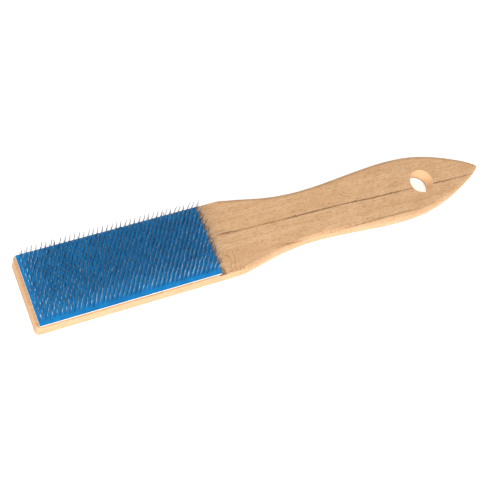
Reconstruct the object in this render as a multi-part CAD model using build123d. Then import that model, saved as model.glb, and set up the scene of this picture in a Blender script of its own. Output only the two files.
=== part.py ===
from build123d import *
import math
import os

# File card: a beech board with a strip of wire card clothing glued to its head.
# Frame: +X runs from the head to the pointed end, +Y across the board, +Z up out of the wire face.
# The origin is on the flat back, under the middle of the whole tool.

# ---- driving dimensions, mm ----
LENGTH = 265.0  # whole board
WIDTH = 40.0  # head
THICKNESS = 9.8  # board
HEAD_LENGTH = 114.0  # end face to the shoulders
HEAD_CORNER_R = 2.5  # head corners, seen from above
HEAD_EDGE_R = 0.5  # arris of the head's long edges and end
GRIP_EDGE_R = 2.0  # rounded edges of the grip
SHOULDER_SLOPE = -0.22  # the outline's slope just past a shoulder

# half-widths of the grip at distances from the head's end face
GRIP = [
    (121.7, 18.5),
    (132.9, 16.1),
    (147.0, 14.2),
    (163.8, 14.0),
    (180.7, 15.2),
    (197.5, 16.6),
    (214.4, 17.1),
    (228.5, 15.8),
    (242.5, 12.0),
    (253.8, 7.3),
]
TIP_SLOPE = -1.0  # the outline's slope where both sides meet in a point
TIP_R = 0.8  # the point, seen from above

HOLE_D = 13.2  # hanging hole
HOLE_X = 227.5  # its distance from the head's end face
HOLE_CHAMFER = 0.3

CARD_LENGTH = 96.5
CARD_WIDTH = 38.5
CARD_X = 1.5  # bare wood at the head's end
GLUE_T = 0.45  # as deep as the crowns that lie in it
PLY_T = 0.3  # each of the three cotton plies
PLIES = 3
RUBBER_T = 0.5

WIRE_D = 0.38
WIRE_ABOVE = 10.5  # from the rubber to the tips
KNEE_ABOVE = 4.2  # from the rubber to the knee
KNEE_LEAN = 0.55  # how far the knee stands out along X
TIP_LEAN = 0.1  # how far the tips stand out along X
CROWN_CUT = 0.35  # how far the crown's slanting corners reach along each leg
HOLE_SLACK = 0.02  # pricked holes over the wire, in diameter
SLOT_SLACK = 0.04  # glue round a crown, each side

COLUMNS = 39  # rows of staples along the card, one node each
COLUMN_PITCH = 2.45
LINES = 20  # lines of wires across the card
LINE_PITCH = 1.85
FIELD_SHIFT = 0.8  # the wire field sits off the middle of the strip

# ---- derived ----
BACK_Z = 0.0
TOP_Z = BACK_Z + THICKNESS
CLOTH_Z = TOP_Z + GLUE_T
RUBBER_Z = CLOTH_Z + PLIES * PLY_T
FACE_Z = RUBBER_Z + RUBBER_T
HEAD_END_X = -LENGTH / 2
CARD_MID_X = HEAD_END_X + CARD_X + CARD_LENGTH / 2
CROWN_Z = (TOP_Z + CLOTH_Z) / 2
CROWN_SPAN = 2 * LINE_PITCH
STAGGER = COLUMN_PITCH / 2
FIRST_COLUMN_X = CARD_MID_X - ((COLUMNS - 1) * COLUMN_PITCH + STAGGER) / 2
FIRST_LINE_Y = FIELD_SHIFT - (LINES - 1) * LINE_PITCH / 2

os.makedirs("parts", exist_ok=True)


def save(name, shape):
    """Write one named piece."""
    shape.label = name
    export_step(shape, f"parts/{name}.step")


# ---- board ----
def board_outline():
    """The board seen from above: a straight head, shoulders and a waisted grip, the same on both sides."""
    half = WIDTH / 2
    shoulder_x = HEAD_END_X + HEAD_LENGTH
    # the sides meet beyond the end, so that the rounded point reaches the full length
    meet_x = HEAD_END_X + LENGTH + TIP_R * (1 / math.sin(math.atan(-TIP_SLOPE)) - 1)
    side = [(shoulder_x, half)] + [(HEAD_END_X + x, w) for x, w in GRIP] + [(meet_x, 0)]
    upper = Spline(*side, tangents=[(1, SHOULDER_SLOPE), (1, TIP_SLOPE)])
    lower = mirror(upper, about=Plane.XZ)
    head = Polyline((shoulder_x, -half), (HEAD_END_X, -half), (HEAD_END_X, half), (shoulder_x, half))
    return make_face([*head.edges(), upper, lower])


def is_at(edge, z):
    """Whether an edge lies flat at height z."""
    box = edge.bounding_box()
    return abs(box.min.Z - z) < 1e-4 and abs(box.max.Z - z) < 1e-4


def make_board():
    """The beech board with its rounded grip and the hanging hole."""
    board = extrude(board_outline(), THICKNESS)
    upright = board.edges().filter_by(Axis.Z)
    board = fillet([e for e in upright if e.center().X < HEAD_END_X + 1], HEAD_CORNER_R)
    tip = board.edges().filter_by(Axis.Z).sort_by(Axis.X)[-1]
    board = fillet(tip, TIP_R)
    middle = HEAD_END_X + HEAD_LENGTH + 1
    flat_edges = [e for e in board.edges() if is_at(e, BACK_Z) or is_at(e, TOP_Z)]
    board = fillet([e for e in flat_edges if e.center().X > middle], GRIP_EDGE_R)
    flat_edges = [e for e in board.edges() if is_at(e, BACK_Z) or is_at(e, TOP_Z)]
    head_edges = [e for e in flat_edges if e.bounding_box().max.X < middle]
    board = fillet(head_edges, HEAD_EDGE_R)
    hole = Pos(HEAD_END_X + HOLE_X, 0, THICKNESS / 2) * Cylinder(HOLE_D / 2, THICKNESS + 2)
    board = board - hole
    rims = [e for e in board.edges().filter_by(GeomType.CIRCLE) if abs(e.radius - HOLE_D / 2) < 1e-4]
    return chamfer(rims, HOLE_CHAMFER)


# ---- where the staples go ----
def staple_places(column):
    """(x, y of the crown's middle) of each staple in a column. The odd lines stand half a pitch on."""
    places = []
    for line in range(LINES):
        if line % 4 > 1:
            continue
        x = FIRST_COLUMN_X + column * COLUMN_PITCH + (STAGGER if line % 2 else 0)
        places.append((x, FIRST_LINE_Y + line * LINE_PITCH + CROWN_SPAN / 2))
    return places


ALL_PLACES = [place for column in range(COLUMNS) for place in staple_places(column)]


# ---- card clothing ----
def card_rectangle(z):
    """The strip's outline as a wire at height z."""
    return Pos(CARD_MID_X, 0, z) * Wire.make_rect(CARD_LENGTH, CARD_WIDTH)


def pricked_layer(z, thickness):
    """One layer of the foundation, with a pricked hole for each leg."""
    pricks = [
        Pos(x, y + side * CROWN_SPAN / 2, z) * Wire.make_circle((WIRE_D + HOLE_SLACK) / 2)
        for x, y in ALL_PLACES
        for side in (-1, 1)
    ]
    return extrude(Face(card_rectangle(z), pricks), thickness, dir=(0, 0, 1))


def make_glue_bed():
    """The glue under the foundation, with a slot for each crown that lies in it."""
    slot_w = WIRE_D + 2 * SLOT_SLACK
    slots = [Pos(x, y, TOP_Z) * Wire.make_rect(slot_w, CROWN_SPAN + slot_w) for x, y in ALL_PLACES]
    return extrude(Face(card_rectangle(TOP_Z), slots), GLUE_T, dir=(0, 0, 1))


def make_staple():
    """A U-shaped staple with its crown's middle at x = y = 0. Both legs have the same knee."""
    half = CROWN_SPAN / 2
    leg = [
        (0, half - CROWN_CUT, CROWN_Z),
        (0, half, CROWN_Z + CROWN_CUT),
        (0, half, FACE_Z + 0.1),
        (KNEE_LEAN, half, FACE_Z + KNEE_ABOVE),
        (TIP_LEAN, half, FACE_Z + WIRE_ABOVE),
    ]
    path = Polyline(*[(x, -y, z) for x, y, z in reversed(leg)], *leg)
    start = Plane(origin=path @ 0, z_dir=path % 0)
    return sweep(start * Circle(WIRE_D / 2), path=path, transition=Transition.RIGHT)


save("handle_board", make_board())
save("glue_bed", make_glue_bed())
for ply in range(PLIES):
    save(f"cotton_ply_{ply + 1}", pricked_layer(CLOTH_Z + ply * PLY_T, PLY_T))
save("rubber_face", pricked_layer(RUBBER_Z, RUBBER_T))

STAPLE = make_staple()
for column in range(COLUMNS):
    staples = [Pos(x, y, 0) * STAPLE for x, y in staple_places(column)]
    save(f"wire_row_{column + 1:02d}", Compound(children=staples))
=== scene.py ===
"""Looks and studio of a file card: a beech paddle with a strip of wire card clothing glued to its head."""

import logging
import math
from dataclasses import dataclass
from enum import Enum
from typing import Any

import bpy
import numpy as np
from mathutils import Matrix, Vector

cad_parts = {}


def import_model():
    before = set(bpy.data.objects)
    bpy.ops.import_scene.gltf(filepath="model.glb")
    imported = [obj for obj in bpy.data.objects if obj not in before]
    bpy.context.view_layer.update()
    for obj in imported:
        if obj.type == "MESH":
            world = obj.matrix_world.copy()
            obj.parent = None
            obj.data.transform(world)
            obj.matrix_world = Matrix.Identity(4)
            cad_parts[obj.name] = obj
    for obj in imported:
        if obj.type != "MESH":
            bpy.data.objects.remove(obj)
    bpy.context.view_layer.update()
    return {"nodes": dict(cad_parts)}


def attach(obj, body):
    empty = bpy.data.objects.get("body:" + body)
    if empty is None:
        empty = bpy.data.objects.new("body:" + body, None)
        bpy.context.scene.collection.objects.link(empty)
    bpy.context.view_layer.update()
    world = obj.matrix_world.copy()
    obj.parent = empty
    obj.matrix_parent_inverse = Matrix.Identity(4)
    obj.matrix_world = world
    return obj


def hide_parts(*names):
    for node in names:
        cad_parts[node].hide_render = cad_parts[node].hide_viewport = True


LOG = logging.getLogger("file_card")
MM = 0.001


def srgb(code: str) -> tuple[float, float, float, float]:
    """Turns a display colour into the linear colour that a shader takes.

    Args:
        code: The colour as six hex digits, red first.

    Returns:
        Linear red, green and blue, and an alpha of 1.
    """
    parts = [int(code[i : i + 2], 16) / 255 for i in (0, 2, 4)]
    linear = [c / 12.92 if c <= 0.04045 else ((c + 0.055) / 1.055) ** 2.4 for c in parts]
    return (linear[0], linear[1], linear[2], 1.0)


def add_node(tree: bpy.types.NodeTree, kind: str, inputs: dict[Any, Any] | None = None, **settings: Any) -> Any:
    """Adds one shader node and fills its sockets.

    Args:
        tree: The material's node tree.
        kind: The node's Blender class name.
        inputs: Socket name or number to a value, or to another node's output to link from.
        settings: The node's own properties.

    Returns:
        The new node.
    """
    node = tree.nodes.new(kind)
    for name, value in settings.items():
        setattr(node, name, value)
    for key, value in (inputs or {}).items():
        if isinstance(value, bpy.types.NodeSocket):
            tree.links.new(value, node.inputs[key])
        else:
            node.inputs[key].default_value = value
    return node


class Mix(Enum):
    """How one colour is laid over another."""

    OVER = "MIX"
    DARKEN = "MULTIPLY"


class Shader:
    """A material under construction, with the few node patterns that its finish needs."""

    def __init__(self, name: str) -> None:
        """Starts an empty material.

        Args:
            name: The real material's name.
        """
        self.material = bpy.data.materials.new(name)
        self.material.use_nodes = True
        self.tree = self.material.node_tree
        self.tree.nodes.clear()
        coords = add_node(self.tree, "ShaderNodeTexCoord")
        self.place = coords.outputs["Object"]
        self.normal = coords.outputs["Normal"]

    def add(self, kind: str, inputs: dict[Any, Any] | None = None, **settings: Any) -> Any:
        """Adds a node to this material; see add_node."""
        return add_node(self.tree, kind, inputs, **settings)

    def math(self, operation: str, *values: Any) -> Any:
        """Adds an arithmetic node.

        Args:
            operation: The operation's Blender name.
            values: Numbers or outputs, in order.

        Returns:
            The result's output.
        """
        return self.add("ShaderNodeMath", dict(enumerate(values)), operation=operation).outputs[0]

    def stretched(self, per_metre: tuple[float, float, float], source: Any = None) -> Any:
        """Scales the object's own coordinates, so that a pattern can be longer one way than another.

        Args:
            per_metre: Pattern units per metre along X, Y and Z.
            source: Coordinates to scale in place of the object's.

        Returns:
            The scaled coordinates' output.
        """
        inputs = {"Vector": source or self.place, "Scale": per_metre}
        return self.add("ShaderNodeMapping", inputs).outputs[0]

    def noise(self, per_metre: tuple[float, float, float], detail: float = 2.0, source: Any = None) -> Any:
        """Adds smooth random variation of about 0 to 1.

        Args:
            per_metre: Blotches per metre along X, Y and Z.
            detail: Octaves of finer variation.
            source: Coordinates to use in place of the object's.

        Returns:
            The value's output.
        """
        inputs = {"Vector": self.stretched(per_metre, source), "Scale": 1.0, "Detail": detail}
        return self.add("ShaderNodeTexNoise", inputs).outputs["Fac"]

    def ramp(self, value: Any, low: float, high: float, to_low: float = 0.0, to_high: float = 1.0) -> Any:
        """Maps a range of values smoothly onto another and holds it at both ends.

        Args:
            value: The output to map.
            low: The value that gives to_low.
            high: The value that gives to_high.
            to_low: The result at low.
            to_high: The result at high.

        Returns:
            The mapped output.
        """
        inputs = {"Value": value, "From Min": low, "From Max": high, "To Min": to_low, "To Max": to_high}
        return self.add("ShaderNodeMapRange", inputs, interpolation_type="SMOOTHSTEP").outputs[0]

    def lay(self, share: Any, under: Any, over: Any, how: Mix = Mix.OVER) -> Any:
        """Lays one colour over another.

        Args:
            share: How much of the upper colour shows.
            under: The lower colour.
            over: The upper colour.
            how: Plain cover or a darkening glaze.

        Returns:
            The colour's output.
        """
        inputs = {0: share, 6: under, 7: over}
        return self.add("ShaderNodeMix", inputs, data_type="RGBA", blend_type=how.value).outputs[2]

    def bump(self, height: Any, depth: float, strength: float = 1.0) -> Any:
        """Turns a height pattern into a surface slope.

        Args:
            height: The pattern, about 0 to 1.
            depth: The height of 1 in metres.
            strength: How much of the slope is used.

        Returns:
            The normal's output.
        """
        inputs = {"Height": height, "Distance": depth, "Strength": strength}
        return self.add("ShaderNodeBump", inputs).outputs[0]

    def surface(self, **sockets: Any) -> bpy.types.Material:
        """Ends the material with one physical surface shader.

        Args:
            sockets: Shader socket names, with spaces as underscores, to values or outputs.

        Returns:
            The finished material.
        """
        inputs = {key.replace("_", " "): value for key, value in sockets.items()}
        shader = self.add("ShaderNodeBsdfPrincipled", inputs)
        self.add("ShaderNodeOutputMaterial", {"Surface": shader.outputs[0]})
        return self.material


# ---- finishes ----


@dataclass(frozen=True)
class BeechFinish:
    """Bare planed beech: even warm tan, faint streaks, short brown flecks and two thin dark grain lines."""

    light: str = "d7b088"
    tan: str = "cea479"
    deep: str = "ad8055"
    fleck: str = "8a6340"
    line: str = "5f3f24"
    end_grain: str = "b98c60"
    # painted light on the drilled wall of the hole
    hole_wall_light: str = "ecc79d"
    # painted shadow of the card and its wires on the wood beside the card's end
    card_shadow_tone: str = "6d5236"
    # painted shade along the hole's back rim
    hole_rim_shade: str = "3a2414"
    roughness: float = 0.62
    ior: float = 1.5
    card_end_x: float = -34.5 * MM
    hole_x: float = 95 * MM
    hole_radius: float = 6.6 * MM

    def grain_line(self, s: Shader, y: Any, x: Any, offset: float, slope: float, width: float) -> Any:
        """One thin dark grain line that runs nearly along the board and comes and goes.

        Args:
            s: The material.
            y: Output of the place across the board, already wandering.
            x: Output of the place along the board.
            offset: The line's distance from the middle at x = 0, in metres.
            slope: Its drift across the board per metre along it.
            width: Its half-width in metres.

        Returns:
            Output of 1 on the line and 0 off it.
        """
        centre = s.math("MULTIPLY_ADD", x, slope, offset)
        away = s.math("ABSOLUTE", s.math("SUBTRACT", y, centre))
        return s.ramp(away, 0.25 * width, width, 1.0, 0.0)

    def lines(self, s: Shader, y: Any, x: Any, level: Any) -> Any:
        """The two thin dark grain lines of the flat faces, with frayed edges.

        Args:
            s: The material.
            y: Output of the place across the board, already wandering.
            x: Output of the place along the board.
            level: Output of 1 on the flat faces.

        Returns:
            Output of 1 on the lines and 0 off them.
        """
        fray = s.ramp(s.noise((650, 650, 650), 2.0), 0.3, 0.7, -0.18 * MM, 0.18 * MM)
        rough_y = s.math("ADD", y, fray)
        middle = self.grain_line(s, rough_y, x, 0.4 * MM, -0.029, 0.56 * MM)
        lower = self.grain_line(s, rough_y, x, -13.0 * MM, -0.012, 0.5 * MM)
        on_grip = s.ramp(x, -30 * MM, -26 * MM)
        starts = s.ramp(x, -2 * MM, 8 * MM)
        fades = s.ramp(x, 80 * MM, 96 * MM, 0.75, 0.0)
        lower = s.math("MULTIPLY", lower, s.math("MULTIPLY", starts, fades))
        both = s.math("MAXIMUM", s.math("MULTIPLY", middle, on_grip), lower)
        # the lines come and go along their length every 20 mm or so
        present = s.ramp(s.noise((55, 20, 20), 2.0), 0.34, 0.52, 0.3, 0.75)
        return s.math("MULTIPLY", s.math("MULTIPLY", both, present), level)

    def plane_marks(self, s: Shader, x: Any, y: Any) -> Any:
        """A few faint wavy marks across the grain, 2 mm apart, at the shoulder beside the card.

        Args:
            s: The material.
            x: Output of the place along the board.
            y: Output of the place across the board.

        Returns:
            Output of the marks' strength.
        """
        waver = s.ramp(s.noise((160, 160, 160)), 0.2, 0.8, 0, 7)
        turn = s.math("MULTIPLY_ADD", x, 2 * math.pi / (2.2 * MM), waver)
        wave = s.ramp(s.math("SINE", turn), 0.1, 0.9, 0.0, 0.6)
        along = s.math("MULTIPLY", s.ramp(x, -31 * MM, -28 * MM), s.ramp(x, -24 * MM, -19 * MM, 1.0, 0.0))
        across = s.ramp(y, -11 * MM, -6 * MM, 1.0, 0.0)
        return s.math("MULTIPLY", wave, s.math("MULTIPLY", along, across))

    def card_end_shadow(self, s: Shader, x: Any, top: Any) -> Any:
        """Painted shadow that the card and its wires cast on the wood beside the card's end, about 3 mm wide.

        Args:
            s: The material.
            x: Output of the place along the board.
            top: Output of 1 on the front face.

        Returns:
            Output of the painted shadow's strength.
        """
        ragged = s.math("ADD", x, s.ramp(s.noise((420, 420, 420), 3.0), 0.25, 0.75, -1.4 * MM, 1.4 * MM))
        fade = s.ramp(ragged, self.card_end_x + 0.6 * MM, self.card_end_x + 3.6 * MM, 0.85, 0.0)
        past_card = s.ramp(x, self.card_end_x - 1.5 * MM, self.card_end_x - 0.5 * MM)
        return s.math("MULTIPLY", fade, s.math("MULTIPLY", top, past_card))

    def material(self) -> bpy.types.Material:
        """Builds the material.

        Returns:
            Beech.
        """
        s = Shader("beech")
        split = s.add("ShaderNodeSeparateXYZ", {0: s.place})
        x, y, z = split.outputs[0], split.outputs[1], split.outputs[2]
        facing = s.add("ShaderNodeSeparateXYZ", {0: s.normal})
        level = s.ramp(s.math("ABSOLUTE", facing.outputs[2]), 0.5, 0.95)
        top = s.ramp(z, 9.0 * MM, 9.7 * MM)
        # the fibres wander a little across the board, which keeps streaks and lines from being ruled straight
        drift = s.ramp(s.noise((14, 30, 30)), 0.2, 0.8, -0.8 * MM, 0.8 * MM)
        wander = s.math("ADD", y, drift)
        fibre_place = s.add("ShaderNodeCombineXYZ", {0: x, 1: wander, 2: z}).outputs[0]
        # broad soft streaks of light and dark wood, some 5 mm wide and 100 mm long
        broad = s.ramp(s.noise((9, 210, 210), 3.0, fibre_place), 0.3, 0.7)
        colour = s.lay(broad, srgb(self.tan), srgb(self.light))
        # narrow growth streaks, about 0.8 mm wide, give the fine stripes along the grip
        narrow = s.ramp(s.noise((60, 1300, 1300), 3.0, fibre_place), 0.42, 0.72, 0.0, 0.35)
        colour = s.lay(narrow, colour, srgb(self.deep))
        # open pores, drawn about 1 mm long so that they show, give the wood its grainy look
        pores = s.ramp(s.noise((900, 1900, 1900), 3.0, fibre_place), 0.5, 0.66, 0.0, 0.5)
        colour = s.lay(pores, colour, srgb(self.deep))
        # short brown ray flecks, about 2 mm by 0.4 mm, are what tells beech from other pale woods
        flecks = s.ramp(s.noise((420, 2400, 2400), 1.0, fibre_place), 0.6, 0.7, 0.0, 0.5)
        colour = s.lay(flecks, colour, srgb(self.fleck))
        # cloudy patches, about 10 mm across, faint
        cloud = s.ramp(s.noise((110, 90, 110), 4.0), 0.35, 0.7, 0.0, 0.2)
        colour = s.lay(cloud, colour, srgb(self.deep))
        colour = s.lay(self.lines(s, wander, x, level), colour, srgb(self.line))
        colour = s.lay(s.math("MULTIPLY", top, self.plane_marks(s, x, y)), colour, srgb(self.deep))
        # painted shadow: the wood beside the card's end is darkened as if shaded by the card and its wires
        colour = s.lay(self.card_end_shadow(s, x, top), colour, srgb(self.card_shadow_tone))
        # the sawn end shows end grain, which soaks up light and looks browner
        end = s.ramp(s.math("ABSOLUTE", facing.outputs[0]), 0.8, 0.97, 0.0, 0.75)
        colour = s.lay(end, colour, srgb(self.end_grain))
        # painted light: the drilled wall of the hole is drawn paler, as if lit by the key light
        off_x = s.math("SUBTRACT", x, self.hole_x)
        square = s.math("ADD", s.math("MULTIPLY", off_x, off_x), s.math("MULTIPLY", y, y))
        away = s.math("SQRT", square)
        wall = s.ramp(away, self.hole_radius + 0.05 * MM, self.hole_radius + 0.25 * MM, 0.9, 0)
        colour = s.lay(wall, colour, srgb(self.hole_wall_light))
        # painted shade: the wood is darkened along the rim where the hole breaks out of the back
        near_rim = s.ramp(away, self.hole_radius + 0.1 * MM, self.hole_radius + 0.5 * MM, 1, 0)
        near_back = s.ramp(z, 0.3 * MM, 1.3 * MM, 0.9, 0.0)
        colour = s.lay(s.math("MULTIPLY", near_rim, near_back), colour, srgb(self.hole_rim_shade))
        # planed fibres leave fine ridges along the board, about 0.3 mm apart
        ridges = s.noise((90, 3200, 3200), 2.0, fibre_place)
        normal = s.bump(ridges, 0.05 * MM, 0.5)
        return s.surface(Base_Color=colour, Roughness=self.roughness, IOR=self.ior, Normal=normal)


@dataclass(frozen=True)
class RubberFinish:
    """Blue vulcanised rubber: an even strong blue with a soft sheen and a faint calendered texture."""

    blue: str = "0c80c4"
    deep: str = "0870b0"
    roughness: float = 0.5
    specular: float = 0.2
    ior: float = 1.52

    def material(self) -> bpy.types.Material:
        """Builds the material.

        Returns:
            Vulcanised rubber.
        """
        s = Shader("vulcanised_rubber")
        # slight unevenness in the pigment, some 5 mm across, keeps the blue from looking printed
        mottle = s.ramp(s.noise((200, 200, 200), 3.0), 0.3, 0.7)
        colour = s.lay(mottle, srgb(self.deep), srgb(self.blue))
        # the cloth under it telegraphs through as a faint grain of about 0.4 mm
        normal = s.bump(s.noise((2500, 2500, 2500), 2.0), 0.03 * MM, 0.4)
        sheen = {"Roughness": self.roughness, "IOR": self.ior, "Specular_IOR_Level": self.specular}
        return s.surface(Base_Color=colour, Normal=normal, **sheen)


@dataclass(frozen=True)
class CottonFinish:
    """Cut edge of rubber-cemented cotton cloth: cream, with the thread ends as fine pale and grey ticks."""

    cream: str = "fbf8f1"
    shade: str = "ddd5c6"
    roughness: float = 0.9
    thread: float = 0.45 * MM

    def material(self) -> bpy.types.Material:
        """Builds the material.

        Returns:
            Cotton.
        """
        s = Shader("cotton")
        per = 0.5 / self.thread
        # cut thread ends, one every 0.45 mm, with an uneven rhythm
        ends = s.ramp(s.noise((2 * per, 2 * per, per), 1.0), 0.38, 0.62)
        colour = s.lay(ends, srgb(self.shade), srgb(self.cream))
        normal = s.bump(ends, 0.08 * MM, 0.6)
        return s.surface(Base_Color=colour, Roughness=self.roughness, Normal=normal)


@dataclass(frozen=True)
class GlueFinish:
    """Dried contact glue: a thin amber line under the cloth."""

    amber: str = "b98f5c"
    roughness: float = 0.35
    ior: float = 1.5

    def material(self) -> bpy.types.Material:
        """Builds the material.

        Returns:
            Contact glue.
        """
        s = Shader("contact_glue")
        # the squeezed-out edge is lumpy every millimetre or so
        lumps = s.noise((900, 900, 900), 2.0)
        normal = s.bump(lumps, 0.1 * MM, 0.5)
        return s.surface(Base_Color=srgb(self.amber), Roughness=self.roughness, IOR=self.ior, Normal=normal)


@dataclass(frozen=True)
class WireFinish:
    """Hardened and tempered steel wire: grey, with a drawn lustre that glints along each wire."""

    steel: str = "b4c2cd"
    dull: str = "6a7681"
    roughness: float = 0.34

    def material(self) -> bpy.types.Material:
        """Builds the material.

        Returns:
            Tempered steel wire.
        """
        s = Shader("tempered_steel_wire")
        # some wires are duller than their neighbours, in patches a few millimetres wide
        patch = s.ramp(s.noise((420, 420, 120), 2.0), 0.35, 0.65)
        colour = s.lay(patch, srgb(self.dull), srgb(self.steel))
        return s.surface(Base_Color=colour, Metallic=1.0, Roughness=self.roughness)


# ---- pieces ----


@dataclass(frozen=True)
class FieldSize:
    """Where the wires stand, in metres, as the card clothing was set."""

    columns: int = 39
    lines: int = 20
    column_pitch: float = 2.45 * MM
    line_pitch: float = 1.85 * MM
    strip_start_x: float = -131.0 * MM
    strip_length: float = 96.5 * MM
    field_shift: float = 0.8 * MM
    crown_z: float = 10.025 * MM
    face_z: float = 11.65 * MM
    above: float = 10.5 * MM
    knee: float = 4.2 * MM
    knee_lean: float = 0.55 * MM
    tip_lean: float = 0.1 * MM
    radius: float = 0.19 * MM


@dataclass(frozen=True)
class Unevenness:
    """How far real wires stray from their set place, as standard deviations in metres, and the worn borders."""

    tip: float = 0.2 * MM
    knee: float = 0.08 * MM
    height: float = 0.1 * MM
    bent_share: float = 0.02
    bent: float = 0.9 * MM
    splay_start: float = 1.4 * MM
    splay_end: float = 0.9 * MM
    splay_reach: float = 3.0 * MM


class WireField:
    """The steel wire staples of the card clothing, one piece for each row across the strip."""

    SIDES = 6

    def __init__(self, size: FieldSize, uneven: Unevenness, finish: WireFinish, seed: int = 7) -> None:
        """Keeps the sizes and starts the seeded random order.

        Args:
            size: Where the wires stand.
            uneven: How they stray.
            finish: The wire's finish.
            seed: Start of the random order.
        """
        self.size = size
        self.uneven = uneven
        self.material = finish.material()
        self.random = np.random.default_rng(seed)

    def roots(self, column: int) -> np.ndarray:
        """Places of one row's staples.

        The lines across the strip are numbered 0 to 19. A staple joins lines 4k and 4k + 2, or 4k + 1 and
        4k + 3, and the odd lines stand half a column further on.

        Args:
            column: The row's number from the head's end.

        Returns:
            One row per staple: x, and y of its first and second leg.
        """
        s = self.size
        lines = np.arange(s.lines)
        lines = lines[lines % 4 < 2]
        span = (s.columns - 1) * s.column_pitch + s.column_pitch / 2
        first_x = s.strip_start_x + (s.strip_length - span) / 2
        first_y = s.field_shift - (s.lines - 1) * s.line_pitch / 2
        x = first_x + column * s.column_pitch + np.where(lines % 2, s.column_pitch / 2, 0.0)
        y = first_y + lines * s.line_pitch
        return np.stack([x, y, y + 2 * s.line_pitch], axis=1)

    def lean(self, x: np.ndarray) -> np.ndarray:
        """How far the border wires are pushed outwards along X by use.

        It grows with the square of the depth into a border band at either end of the strip and is random
        from wire to wire.

        Args:
            x: Root places along the strip.

        Returns:
            Tip displacement along X, the same shape.
        """
        s, u = self.size, self.uneven
        end_x = s.strip_start_x + s.strip_length
        into_start = np.clip(1 - (x - s.strip_start_x) / u.splay_reach, 0, 1)
        into_end = np.clip(1 - (end_x - x) / u.splay_reach, 0, 1)
        chance = self.random.uniform(0.35, 1.6, x.shape)
        return chance * (u.splay_end * into_end**0.5 - u.splay_start * into_start**0.5)

    def centrelines(self, column: int) -> np.ndarray:
        """Centre points of one row's staples, from one tip over the crown to the other.

        Each leg has four points: its tip, the knee's two sides and its root at the crown. The tip strays by a
        normal random amount, a few wires are bent further, and the border wires are splayed.

        Args:
            column: The row's number.

        Returns:
            Array of staples by 10 points by 3.
        """
        s, u, r = self.size, self.uneven, self.random
        roots = self.roots(column)
        count = len(roots)
        x = np.repeat(roots[:, :1], 2, axis=1)
        y = roots[:, 1:]
        tip_shift = r.normal(0, u.tip, (count, 2, 2))
        bent = r.uniform(size=(count, 2, 1)) < u.bent_share
        tip_shift = tip_shift + bent * r.normal(0, u.bent, (count, 2, 2))
        knee_shift = r.normal(0, u.knee, (count, 2, 2)) + 0.3 * tip_shift
        push = self.lean(x)
        tip_x = x + s.tip_lean + tip_shift[..., 0] + push
        tip_y = y + tip_shift[..., 1]
        knee_x = x + s.knee_lean + knee_shift[..., 0] + 0.35 * push
        knee_y = y + knee_shift[..., 1]
        reach = np.hypot(tip_x - x, tip_y - y)
        drop = s.above - np.sqrt(np.maximum(s.above**2 - reach**2, 0))
        tip_z = s.face_z + s.above - drop + r.normal(0, u.height, (count, 2))
        knee_z = np.full_like(x, s.face_z + s.knee)
        low_z = np.full_like(x, s.face_z + 0.1 * MM)
        crown_z = np.full_like(x, s.crown_z)
        tip = np.stack([tip_x, tip_y, tip_z], axis=-1)
        knee = np.stack([knee_x, knee_y, knee_z], axis=-1)
        low = np.stack([x, y, low_z], axis=-1)
        root = np.stack([x, y, crown_z], axis=-1)
        over_knee = knee + 0.12 * (tip - knee)
        under_knee = knee + 0.2 * (low - knee)
        leg = np.stack([tip, over_knee, under_knee, low, root], axis=2)
        return np.concatenate([leg[:, 0], leg[:, 1, ::-1]], axis=1)

    def tubes(self, lines: np.ndarray) -> tuple[np.ndarray, np.ndarray, np.ndarray]:
        """Sweeps a round section along each centreline.

        A ring's point is centre + radius * (cos a * u + sin a * v), where u is the X axis made square to the
        path and v is the path's direction crossed with u. The end rings are a little smaller, as on cut wire,
        and each end is closed by one flat face.

        Args:
            lines: Staples by points by 3.

        Returns:
            Vertices, quads as vertex numbers, and end faces as vertex numbers.
        """
        count, points, _ = lines.shape
        ahead = np.gradient(lines, axis=1)
        ahead /= np.linalg.norm(ahead, axis=2, keepdims=True)
        side = np.array([1.0, 0.0, 0.0]) - ahead[..., :1] * ahead
        side /= np.linalg.norm(side, axis=2, keepdims=True)
        other = np.cross(ahead, side)
        angle = np.arange(self.SIDES) * 2 * math.pi / self.SIDES
        radius = np.full(points, self.size.radius)
        radius[[0, -1]] *= 0.8
        ring = np.cos(angle)[:, None] * side[:, :, None] + np.sin(angle)[:, None] * other[:, :, None]
        vertices = lines[:, :, None] + radius[None, :, None, None] * ring
        number = np.arange(count * points * self.SIDES).reshape(count, points, self.SIDES)
        after = np.roll(number, -1, axis=2)
        quads = np.stack([number[:, :-1], after[:, :-1], after[:, 1:], number[:, 1:]], axis=-1).reshape(-1, 4)
        ends = np.concatenate([number[:, 0, ::-1], number[:, -1]])
        return vertices.reshape(-1, 3), quads, ends

    def build(self) -> list[bpy.types.Object]:
        """Makes every row and hides the plain rows that they stand for.

        Returns:
            The row pieces.
        """
        pieces = []
        for column in range(self.size.columns):
            vertices, quads, ends = self.tubes(self.centrelines(column))
            mesh = bpy.data.meshes.new(f"wires_{column + 1:02d}")
            mesh.from_pydata(vertices.tolist(), [], quads.tolist() + ends.tolist())
            smooth = np.concatenate([np.ones(len(quads), bool), np.zeros(len(ends), bool)])
            mesh.polygons.foreach_set("use_smooth", smooth)
            mesh.materials.append(self.material)
            mesh.validate()
            piece = bpy.data.objects.new(f"wires_{column + 1:02d}", mesh)
            bpy.context.scene.collection.objects.link(piece)
            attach(piece, "root")
            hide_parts(f"wire_row_{column + 1:02d}")
            pieces.append(piece)
        return pieces


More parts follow.
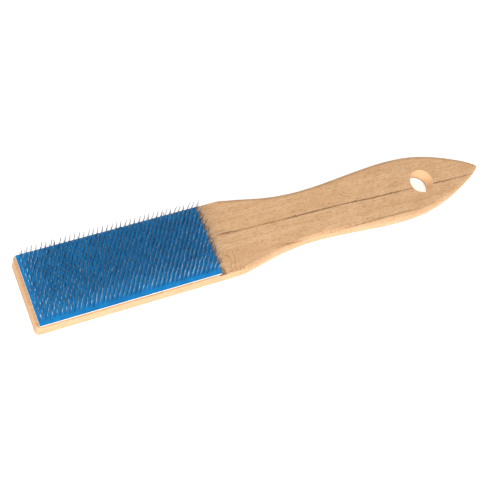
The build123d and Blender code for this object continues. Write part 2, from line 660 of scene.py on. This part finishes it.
class PackedPieces:
    """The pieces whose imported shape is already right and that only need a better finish."""

    def __init__(self, nodes: dict[str, bpy.types.Object]) -> None:
        """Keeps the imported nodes.

        Args:
            nodes: Node name to object.
        """
        self.nodes = nodes

    def finish(self, name: str, material: bpy.types.Material, slot: str) -> bpy.types.Object:
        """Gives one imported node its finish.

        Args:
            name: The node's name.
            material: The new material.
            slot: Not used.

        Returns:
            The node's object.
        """
        piece = self.nodes[name]
        piece.data.materials.clear()
        piece.data.materials.append(material)
        return piece

    def build(self) -> list[bpy.types.Object]:
        """Finishes the board and the layers of the foundation.

        Returns:
            The finished pieces.
        """
        cotton = CottonFinish().material()
        done = [
            self.finish("handle_board", BeechFinish().material(), "beech"),
            self.finish("glue_bed", GlueFinish().material(), "glue"),
            self.finish("rubber_face", RubberFinish().material(), "rubber"),
        ]
        return done + [self.finish(f"cotton_ply_{i}", cotton, "cotton") for i in (1, 2, 3)]


# ---- studio ----


@dataclass(frozen=True)
class CameraPlace:
    """A product view from above the near long side, with the board rising to the right."""

    eye: tuple[float, float, float] = (-234.0 * MM, -189.0 * MM, 564.0 * MM)
    ahead: tuple[float, float, float] = (0.3523, 0.2863, -0.8910)
    roll: float = 31.55
    lens: float = 86.4

    def build(self) -> bpy.types.Object:
        """Places the camera and makes it the scene's own.

        Returns:
            The camera.
        """
        data = bpy.data.cameras.new("camera")
        data.lens = self.lens
        data.sensor_width = 36.0
        data.clip_start = 0.01
        camera = bpy.data.objects.new("camera", data)
        turn = Vector(self.ahead).to_track_quat("-Z", "Y").to_matrix().to_4x4()
        spin = Matrix.Rotation(math.radians(self.roll), 4, "Z")
        camera.matrix_world = Matrix.Translation(self.eye) @ turn @ spin
        bpy.context.scene.collection.objects.link(camera)
        bpy.context.scene.camera = camera
        return camera


@dataclass(frozen=True)
class SoftBox:
    """One large soft light."""

    name: str
    place: tuple[float, float, float]
    aim: tuple[float, float, float]
    width: float
    power: float
    tint: str = "ffffff"

    def build(self) -> bpy.types.Object:
        """Places the light.

        Returns:
            The light.
        """
        data = bpy.data.lights.new(self.name, "AREA")
        data.shape = "SQUARE"
        data.size = self.width
        data.energy = self.power
        data.color = srgb(self.tint)[:3]
        light = bpy.data.objects.new(self.name, data)
        aim = Vector(self.aim) - Vector(self.place)
        light.matrix_world = Matrix.Translation(self.place) @ aim.to_track_quat("-Z", "Y").to_matrix().to_4x4()
        bpy.context.scene.collection.objects.link(light)
        return light


class Studio:
    """A plain pale floor in soft white light."""

    def __init__(
        self,
        floor_colour: str = "fafafa",
        half_width: float = 3.0,
        ambient: float = 0.78,
        far_ambient: float = 0.45,
        glow: float = 0.5,
    ) -> None:
        """Keeps the studio's sizes.

        Args:
            floor_colour: The floor's display colour.
            half_width: Half the floor's width in metres.
            ambient: Strength of the soft white light on the near side.
            far_ambient: Its strength on the far side.
            glow: Strength of the floor's own glow, painted light that lifts the shadow under the board.
        """
        self.floor_colour = floor_colour
        self.half_width = half_width
        self.ambient = ambient
        self.far_ambient = far_ambient
        self.glow = glow

    def floor(self) -> bpy.types.Object:
        """Lays the floor just under the object.

        Returns:
            The floor.
        """
        w, z = self.half_width, -0.02 * MM
        mesh = bpy.data.meshes.new("floor")
        mesh.from_pydata([(-w, -w, z), (w, -w, z), (w, w, z), (-w, w, z)], [], [(0, 1, 2, 3)])
        # painted light: the floor glows by its own emission, which washes out the shadow around the board
        glow = {"Emission_Color": (1.0, 1.0, 1.0, 1.0), "Emission_Strength": self.glow}
        paper = Shader("self_lit_floor").surface(Base_Color=srgb(self.floor_colour), Roughness=0.95, **glow)
        mesh.materials.append(paper)
        floor = bpy.data.objects.new("floor", mesh)
        bpy.context.scene.collection.objects.link(floor)
        return floor

    def lights(self) -> list[bpy.types.Object]:
        """Sets a soft room light, a broad key on the near left side and a weak top light.

        Returns:
            The lights.
        """
        world = bpy.data.worlds.new("studio_air")
        world.use_nodes = True
        world.node_tree.nodes["Background"].inputs[0].default_value = (1, 1, 1, 1)
        tree = world.node_tree
        # the room is brighter on the near side, so far edges turn a little darker
        way = add_node(tree, "ShaderNodeTexCoord").outputs["Generated"]
        far = add_node(tree, "ShaderNodeSeparateXYZ", {0: way}).outputs[1]
        span = {"Value": far, "From Min": -0.2, "From Max": 0.7}
        span |= {"To Min": self.ambient, "To Max": self.far_ambient}
        strength = add_node(tree, "ShaderNodeMapRange", span).outputs[0]
        tree.links.new(strength, tree.nodes["Background"].inputs[1])
        bpy.context.scene.world = world
        boxes = [
            SoftBox("near_key", (-0.5, -0.8, 0.66), (0, 0, 0), 0.45, 11.0, "fffaf2"),
            SoftBox("top_fill", (0.2, 0.1, 1.1), (0, 0, 0), 0.9, 1.5),
        ]
        return [box.build() for box in boxes]

    def build(self) -> None:
        """Sets the floor, the lights, the camera and plain colour handling."""
        self.floor()
        self.lights()
        CameraPlace().build()
        view = bpy.context.scene.view_settings
        view.view_transform = "Standard"
        view.look = "None"
        view.exposure = 0.0


def main() -> None:
    """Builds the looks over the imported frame, then the studio."""
    logging.basicConfig(level=logging.INFO, format="%(name)s: %(message)s")
    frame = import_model()
    for piece in PackedPieces(frame["nodes"]).build():
        LOG.info("finished %s", piece.name)
    for piece in WireField(FieldSize(), Unevenness(), WireFinish()).build():
        LOG.info("built %s with %d faces", piece.name, len(piece.data.polygons))
    Studio().build()


if __name__ == "__main__":
    main()
